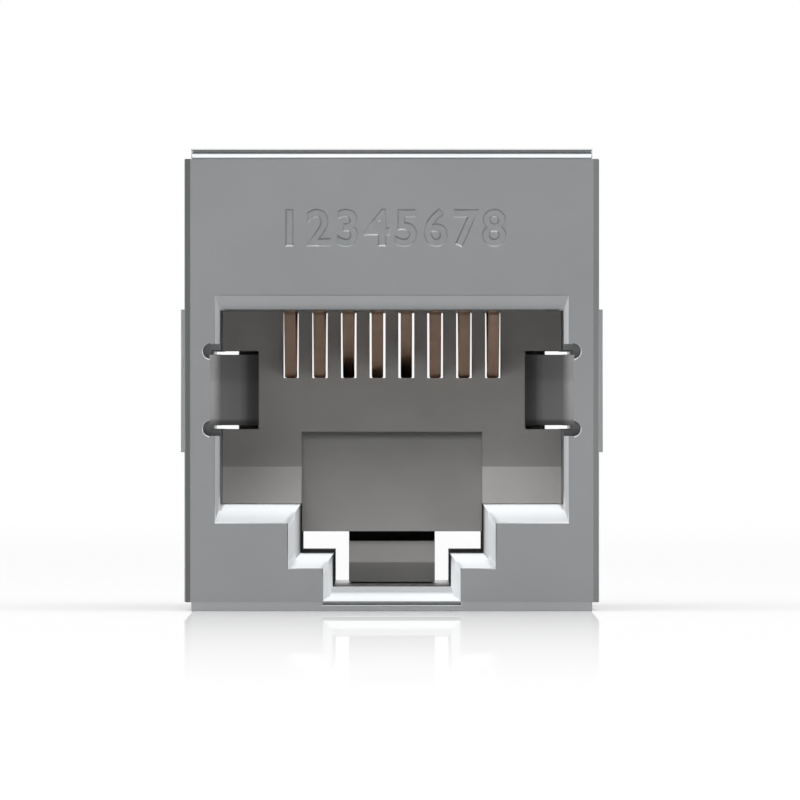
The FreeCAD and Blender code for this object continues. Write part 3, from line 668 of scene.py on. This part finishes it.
# Floor: a matt white sweep that turns pure white some way off, with a faint polish close round the part.
# Only the camera sees the polish, so the floor lights the part as a matt one does.
FLOOR_HALF = 4.0
FLOOR_WHITE = (0.53, 0.53, 0.53, 1)
WHITE = (1, 1, 1, 1)
POLISH = 0.53
POLISH_REACH = 477 * MM
POLISH_FADE = 4.0
SWEEP_START = 0.2
SWEEP_END = 0.8


def blended(tree, share, first, second):
    """Blend two surfaces by a share."""
    blend = tree.nodes.new("ShaderNodeMixShader")
    for source, socket in zip((share, first, second), blend.inputs):
        tree.links.new(source, socket)
    return blend.outputs["Shader"]


floor_skin = bmesh.new()
bmesh.ops.create_grid(floor_skin, x_segments=1, y_segments=1, size=FLOOR_HALF)
floor = stood_up("floor", floor_skin)
white_sweep = bpy.data.materials.new("white_sweep")
white_sweep.use_nodes = True
sweep = white_sweep.node_tree
sweep.nodes.remove(sweep.nodes["Principled BSDF"])
measure = sweep.nodes.new("ShaderNodeVectorMath")
measure.operation = "LENGTH"
sweep.links.new(sweep.nodes.new("ShaderNodeTexCoord").outputs["Object"], measure.inputs[0])
from_middle = measure.outputs["Value"]
paint = sweep.nodes.new("ShaderNodeBsdfDiffuse")
paint.inputs["Color"].default_value = FLOOR_WHITE
mirror = sweep.nodes.new("ShaderNodeBsdfGlossy")
mirror.inputs["Roughness"].default_value = 0.0
mirror.inputs["Color"].default_value = WHITE
distant_white = sweep.nodes.new("ShaderNodeEmission")
distant_white.inputs["Strength"].default_value = 1.0
nearness = ranged(sweep, from_middle, (END_FACE, END_FACE + POLISH_REACH), (1.0, 0.0))
share = worked_out(sweep, "MULTIPLY", worked_out(sweep, "POWER", nearness, POLISH_FADE), POLISH)
to_camera = sweep.nodes.new("ShaderNodeLightPath").outputs["Is Camera Ray"]
seen_share = worked_out(sweep, "MULTIPLY", share, to_camera)
polished = blended(sweep, seen_share, paint.outputs["BSDF"], mirror.outputs["BSDF"])
far_off = ranged(sweep, from_middle, (SWEEP_START, SWEEP_END), easing="SMOOTHSTEP")
swept = blended(sweep, far_off, polished, distant_white.outputs["Emission"])
sweep.links.new(swept, sweep.nodes["Material Output"].inputs["Surface"])
floor.data.materials.append(white_sweep)


# Room: two soft side walls with a dark gap between them in front, under a roof light that dims sideways.
# The camera itself sees plain white in its place.
LEFT_WALL = (
    (-180, 1.0), (-162, 1.0), (-150, 0.4), (-134, 0.4), (-118, 0.3), (-104, 0.2), (-94, 0.3),
    (-88, 1.05), (-82, 1.7), (-72, 2.4), (-60, 3.0), (-45, 3.4), (-25, 3.4))
FRONT_WALL = ((-13, 0.1), (0, 0.05), (13, 0.1))
RIGHT_WALL = (
    (25, 2.9), (45, 3.1), (60, 2.2), (72, 1.4), (82, 1.1), (88, 1.0), (94, 0.4),
    (104, 0.15), (118, 0.3), (134, 0.4), (150, 0.4), (162, 1.0), (180, 1.0))
ROOF_LIGHT = (
    (0, 1.6), (17, 2.1), (24, 2.9), (31, 3.05), (45, 3.0),
    (90, 2.95), (105, 2.6), (130, 1.4), (180, 1.0))
ROOF_SIDES = ((0.0, 1.0), (0.35, 1.0), (0.6, 0.35), (1.0, 0.35))
ROOF_START = 0.15
ROOF_FULL = 0.33
studio = bpy.data.worlds.new("studio")
studio.use_nodes = True
scene.world = studio
room = studio.node_tree


def graded(name, source, stops):
    """Grade the room's brightness between stops along one measure of its outlook."""
    first, last = stops[0][0], stops[-1][0]
    brightest = max(level for place, level in stops)
    grade = room.nodes.new("ShaderNodeFloatCurve")
    grade.label = name
    curve = grade.mapping.curves[0]
    while len(curve.points) < len(stops):
        curve.points.new(MIDWAY, MIDWAY)
    for point, (place, level) in zip(curve.points, stops):
        point.location = ((place - first) / (last - first), level / brightest)
        point.handle_type = "VECTOR"
    grade.mapping.update()
    room.links.new(ranged(room, source, (first, last)), grade.inputs["Value"])
    return worked_out(room, "MULTIPLY", grade.outputs["Value"], brightest)


outlook = room.nodes.new("ShaderNodeSeparateXYZ")
room.links.new(room.nodes.new("ShaderNodeTexCoord").outputs["Generated"], outlook.inputs["Vector"])
sideways = outlook.outputs["X"]
upwards = outlook.outputs["Z"]
frontwards = worked_out(room, "MULTIPLY", outlook.outputs["Y"], -1.0)
bearing = worked_out(room, "DEGREES", worked_out(room, "ARCTAN2", sideways, frontwards))
pitch = worked_out(room, "DEGREES", worked_out(room, "ARCTAN2", upwards, frontwards))
side_walls = graded("walls", bearing, LEFT_WALL + FRONT_WALL + RIGHT_WALL)
roof_strip = graded("roof light", pitch, ROOF_LIGHT)
roof_width = graded("roof sides", worked_out(room, "ABSOLUTE", sideways), ROOF_SIDES)
rise = ranged(room, upwards, (ROOF_START, ROOF_FULL), easing="SMOOTHSTEP")
enclosure = room.nodes.new("ShaderNodeMix")
enclosure.data_type = "FLOAT"
room.links.new(rise, enclosure.inputs["Factor"])
room.links.new(side_walls, enclosure.inputs["A"])
room.links.new(worked_out(room, "MULTIPLY", roof_strip, roof_width), enclosure.inputs["B"])
seen = room.nodes.new("ShaderNodeMix")
seen.data_type = "FLOAT"
seen.inputs["B"].default_value = 1.0
room.links.new(room.nodes.new("ShaderNodeLightPath").outputs["Is Camera Ray"], seen.inputs["Factor"])
room.links.new(enclosure.outputs["Result"], seen.inputs["A"])
glow = room.nodes["Background"]
glow.inputs["Color"].default_value = WHITE
room.links.new(seen.outputs["Result"], glow.inputs["Strength"])


# Front panel: a soft lamp over the lens and a little to its left, turned to the part.
# Nothing mirrors it, so it lights the nylon deep in the port and leaves the metal alone.
PANEL_BEARING = math.radians(-6.5)
PANEL_HEIGHT = math.radians(17)
PANEL_DISTANCE = 1.5
PANEL_SIDE = 0.5
PANEL_POWER = 5.7
panel_light = bpy.data.lights.new("front_panel", "AREA")
panel_light.shape = "RECTANGLE"
panel_light.size = PANEL_SIDE
panel_light.size_y = PANEL_SIDE
panel_light.energy = PANEL_POWER
panel = bpy.data.objects.new("front_panel", panel_light)
panel_way = Vector((math.sin(PANEL_BEARING) * math.cos(PANEL_HEIGHT),
                    -math.cos(PANEL_BEARING) * math.cos(PANEL_HEIGHT), math.sin(PANEL_HEIGHT)))
panel.location = panel_way * PANEL_DISTANCE
panel.rotation_euler = panel_way.to_track_quat("Z", "Y").to_euler()
panel.visible_glossy = False
scene.collection.objects.link(panel)


# Camera: a long lens level with the middle of the port and square to the face.
# Its place follows from where the part's foot and middle stand in the photograph.
IMAGE_SIZE = 800
PIXELS_PER_MM = 28.8
PART_MIDDLE_PIXEL = 391.8
PART_FOOT_PIXEL = 611.0
LENS_DISTANCE = 1000 * MM
LENS_REACH = 20.0
SENSOR_WIDTH = 36.0
lens = bpy.data.cameras.new("camera")
lens.sensor_width = SENSOR_WIDTH
lens.lens = SENSOR_WIDTH * LENS_DISTANCE / (IMAGE_SIZE / PIXELS_PER_MM * MM)
lens.clip_end = LENS_REACH
camera = bpy.data.objects.new("camera", lens)
camera_x = (IMAGE_SIZE / 2 - PART_MIDDLE_PIXEL) / PIXELS_PER_MM * MM
camera_z = (PART_FOOT_PIXEL - IMAGE_SIZE / 2) / PIXELS_PER_MM * MM
camera.location = (camera_x, -END_FACE - LENS_DISTANCE, camera_z)
camera.rotation_euler = (math.radians(90), 0, 0)
scene.collection.objects.link(camera)
scene.camera = camera
scene.view_settings.view_transform = "Standard"
